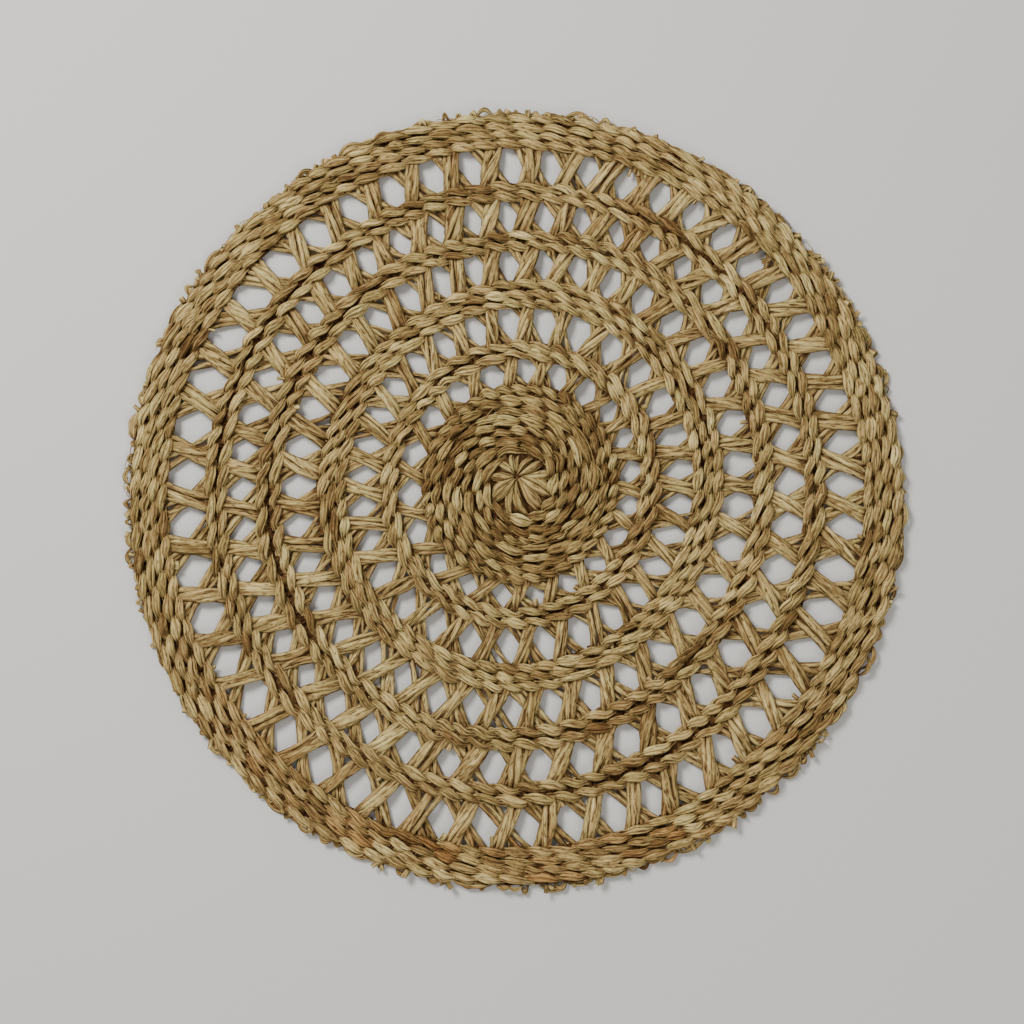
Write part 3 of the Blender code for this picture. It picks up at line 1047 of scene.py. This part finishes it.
def from_to(tree, value, low, high):
    """Nothing where the value is low or less, one where it is high or more."""
    return add_node(
        tree,
        "ShaderNodeMapRange",
        values={"From Min": low, "From Max": high},
        links={"Value": value},
    ).outputs["Result"]


def times(tree, value, number, plus=None):
    """A value times a number, plus another value or number."""
    links = {0: value}
    values = {1: number}
    if isinstance(plus, float):
        values[2] = plus
    elif plus is not None:
        links[2] = plus
    operation = "MULTIPLY" if plus is None else "MULTIPLY_ADD"
    return add_node(
        tree, "ShaderNodeMath", {"operation": operation}, values, links
    ).outputs[0]


# %% [markdown]
# ## Dry seagrass
#
# Seagrass is cut green and dried in the sun. It turns olive straw, dull, with fine
# lengthwise fibres, browner where it was creased, and rusty on old blades. Where it lies deep,
# painted shade darkens it.
# The streaks are noise stretched along the blade's own UV, drawn at about 0.6 mm, which is
# coarser than real fibres but as fine as shows.


# %% The material of every blade
# Features a metre along a blade and so many round it, then the detail.
FIBRES, WRINKLES, SPLITS = (150.0, 11.0, 4.0), (95.0, 6.0, 2.0), (230.0, 8.5, 1.0)
# Features a metre over the mat, then the detail.
PATCHES, WEATHER = (70.0, 3.0), (24.0, 2.0)
CREASED_FROM, SPLIT_FROM, WEATHERED_FROM = (0.36, 0.47), (0.30, 0.42), (0.48, 0.75)
FIBRE_TONE, PATCH_TONE, LEVEL_BASE = 1.9, 0.45, -1.19
STRAW = [(0.0, "7d5f36"), (0.28, "a58955"), (0.5, "c3a86d"), (0.75, "d8c07f"), (1.0, "e8d392")]
SUNK_POWER = 1.6
ROUGHNESS, SHINE = 0.78, 0.12
CREASE_DEPTH, SLIT_DEPTH = 0.7, 0.6
BUMP, BUMP_DEPTH = 0.75, 0.4 * MM


def dry_seagrass():
    """Sun-dried seagrass: dull, fibrous and uneven in tone."""
    material = bpy.data.materials.new("sun-dried seagrass")
    material.use_nodes = True
    tree = material.node_tree
    shader = tree.nodes["Principled BSDF"]
    uv = add_node(tree, "ShaderNodeUVMap", {"uv_map": "weave"}).outputs["UV"]
    tone, crevice, rust, green = (
        add_node(tree, "ShaderNodeAttribute", {"attribute_name": kind}).outputs["Fac"]
        for kind in ("tone", "crevice", "rust", "green")
    )
    spot = add_node(tree, "ShaderNodeTexCoord").outputs["Object"]
    fibres = stretched_noise(tree, uv, *FIBRES)
    wrinkles = stretched_noise(tree, uv, *WRINKLES)
    splits = stretched_noise(tree, uv, *SPLITS)
    patches = plain_noise(tree, spot, *PATCHES)
    weather = plain_noise(tree, spot, *WEATHER)
    creases = from_to(tree, wrinkles, *CREASED_FROM)
    slits = from_to(tree, splits, *SPLIT_FROM)
    weathered = from_to(tree, weather, *WEATHERED_FROM)
    # The painted shade of crevices, grooves and dives, sharpened by a power.
    sunk_shade = add_node(
        tree, "ShaderNodeMath", {"operation": "POWER"}, {1: SUNK_POWER}, {0: crevice}
    ).outputs[0]

    level = times(tree, fibres, FIBRE_TONE, tone)
    level = times(tree, patches, PATCH_TONE, level)
    level = times(tree, level, 1.0, LEVEL_BASE)
    colour = ramp(tree, level, STRAW)
    # A tint, the value it follows, and what that is multiplied by and then added to.
    tints = (
        ("c4cdb4", green, 0.4, None),
        ("dfa57c", rust, 0.7, None),
        ("d8b596", weathered, 0.25, None),
        ("806142", creases, -0.8, 0.8),
        ("5f432c", slits, -0.85, 0.85),
        # painted shade in crevices, grooves and dives
        ("74503a", sunk_shade, 0.88, None),
    )
    for tint, value, number, plus in tints:
        colour = tinted(tree, colour, tint, times(tree, value, number, plus))
    tree.links.new(colour, shader.inputs["Base Color"])
    shader.inputs["Roughness"].default_value = ROUGHNESS
    shader.inputs["Specular IOR Level"].default_value = SHINE
    relief = times(tree, creases, CREASE_DEPTH, fibres)
    relief = times(tree, slits, SLIT_DEPTH, relief)
    bump = add_node(
        tree,
        "ShaderNodeBump",
        values={"Strength": BUMP, "Distance": BUMP_DEPTH},
        links={"Height": relief},
    )
    tree.links.new(bump.outputs["Normal"], shader.inputs["Normal"])
    return material


seagrass = dry_seagrass()
print("material:", seagrass.name)

# %% [markdown]
# ## Put the pieces together
#
# The rows are made in a few meshes of moderate size, and the stakes, the cloth's warp, in a
# mesh of their own. The mat is 380 mm across when flat, as it lies here.

# %% Pieces of the mat
pieces = [
    strand_mesh("stakes_in_rows", hidden_groups),
    strand_mesh("disc_rows", [*row_groups["disc"], *star]),
    strand_mesh("inner_ring_rows", row_groups["inner_ring"] + row_groups["three_row_ring"]),
    strand_mesh("outer_ring_rows", row_groups["middle_ring"] + row_groups["outer_ring"]),
    strand_mesh("rim_inner_rows", row_groups["rim"][:2]),
    strand_mesh("rim_outer_rows", row_groups["rim"][2:]),
    strand_mesh("edge_loops_and_ends", [loops, *loose]),
]
stakes = strand_mesh("stakes", stake_groups)
for piece in [stakes, *pieces]:
    piece.data.materials.append(seagrass)
    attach(piece, "root")
    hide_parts("seagrass_mat")

# %% [markdown]
# ## Light, table and camera
#
# The mat lies on a plain pale floor. A broad soft light stands past its far left, so the
# near sides of the strands fall into shade, and a weak one fills in from the other side.
# The camera looks straight down from 1.2 m, a little low of the mat's middle.


# %% Floor, lights and camera
FLOOR_HALF = 3.0
FLOOR_ROUGHNESS = 0.8
CAMERA_HEIGHT = 1.2
PICTURE_WIDTH = 0.501
PICTURE_MIDDLE = (-1.5 * MM, -5.4 * MM)
AROUND_LIGHT = 0.43


def floor_plane():
    """A large square of pale paint that the mat lies on."""
    half = FLOOR_HALF
    corners = [(-half, -half, 0), (half, -half, 0), (half, half, 0), (-half, half, 0)]
    mesh = bpy.data.meshes.new("floor")
    mesh.from_pydata(corners, [], [(0, 1, 2, 3)])
    floor = bpy.data.objects.new("floor", mesh)
    bpy.context.scene.collection.objects.link(floor)
    paint = bpy.data.materials.new("matt pale paint")
    paint.use_nodes = True
    shader = paint.node_tree.nodes["Principled BSDF"]
    shader.inputs["Base Color"].default_value = linear("d9d6d0")
    shader.inputs["Roughness"].default_value = FLOOR_ROUGHNESS
    mesh.materials.append(paint)


def soft_light(name, where, size, power):
    """A round lamp of a width in metres and a power in watts, turned to the mat's middle."""
    lamp = bpy.data.lights.new(name, "AREA")
    lamp.shape = "DISK"
    lamp.size = size
    lamp.energy = power
    holder = bpy.data.objects.new(name, lamp)
    holder.location = where
    aim = -Vector(where)
    holder.rotation_mode = "QUATERNION"
    holder.rotation_quaternion = aim.to_track_quat("-Z", "Y")
    bpy.context.scene.collection.objects.link(holder)


def overhead_camera():
    """A camera that sees the picture's width at the table."""
    camera = bpy.data.cameras.new("camera")
    camera.sensor_width = 36.0
    camera.lens = camera.sensor_width * CAMERA_HEIGHT / PICTURE_WIDTH
    holder = bpy.data.objects.new("camera", camera)
    holder.location = (*PICTURE_MIDDLE, CAMERA_HEIGHT)
    bpy.context.scene.collection.objects.link(holder)
    bpy.context.scene.camera = holder
    print(f"lens {camera.lens:.1f} mm")


floor_plane()
soft_light("window", (-0.8, 0.85, 1.2), 0.6, 30.0)
soft_light("fill", (0.6, -1.2, 1.4), 1.2, 8.5)
world = bpy.data.worlds.new("studio")
bpy.context.scene.world = world
world.use_nodes = True
background = world.node_tree.nodes["Background"]
background.inputs["Color"].default_value = (1.0, 1.0, 1.0, 1.0)
background.inputs["Strength"].default_value = AROUND_LIGHT
overhead_camera()
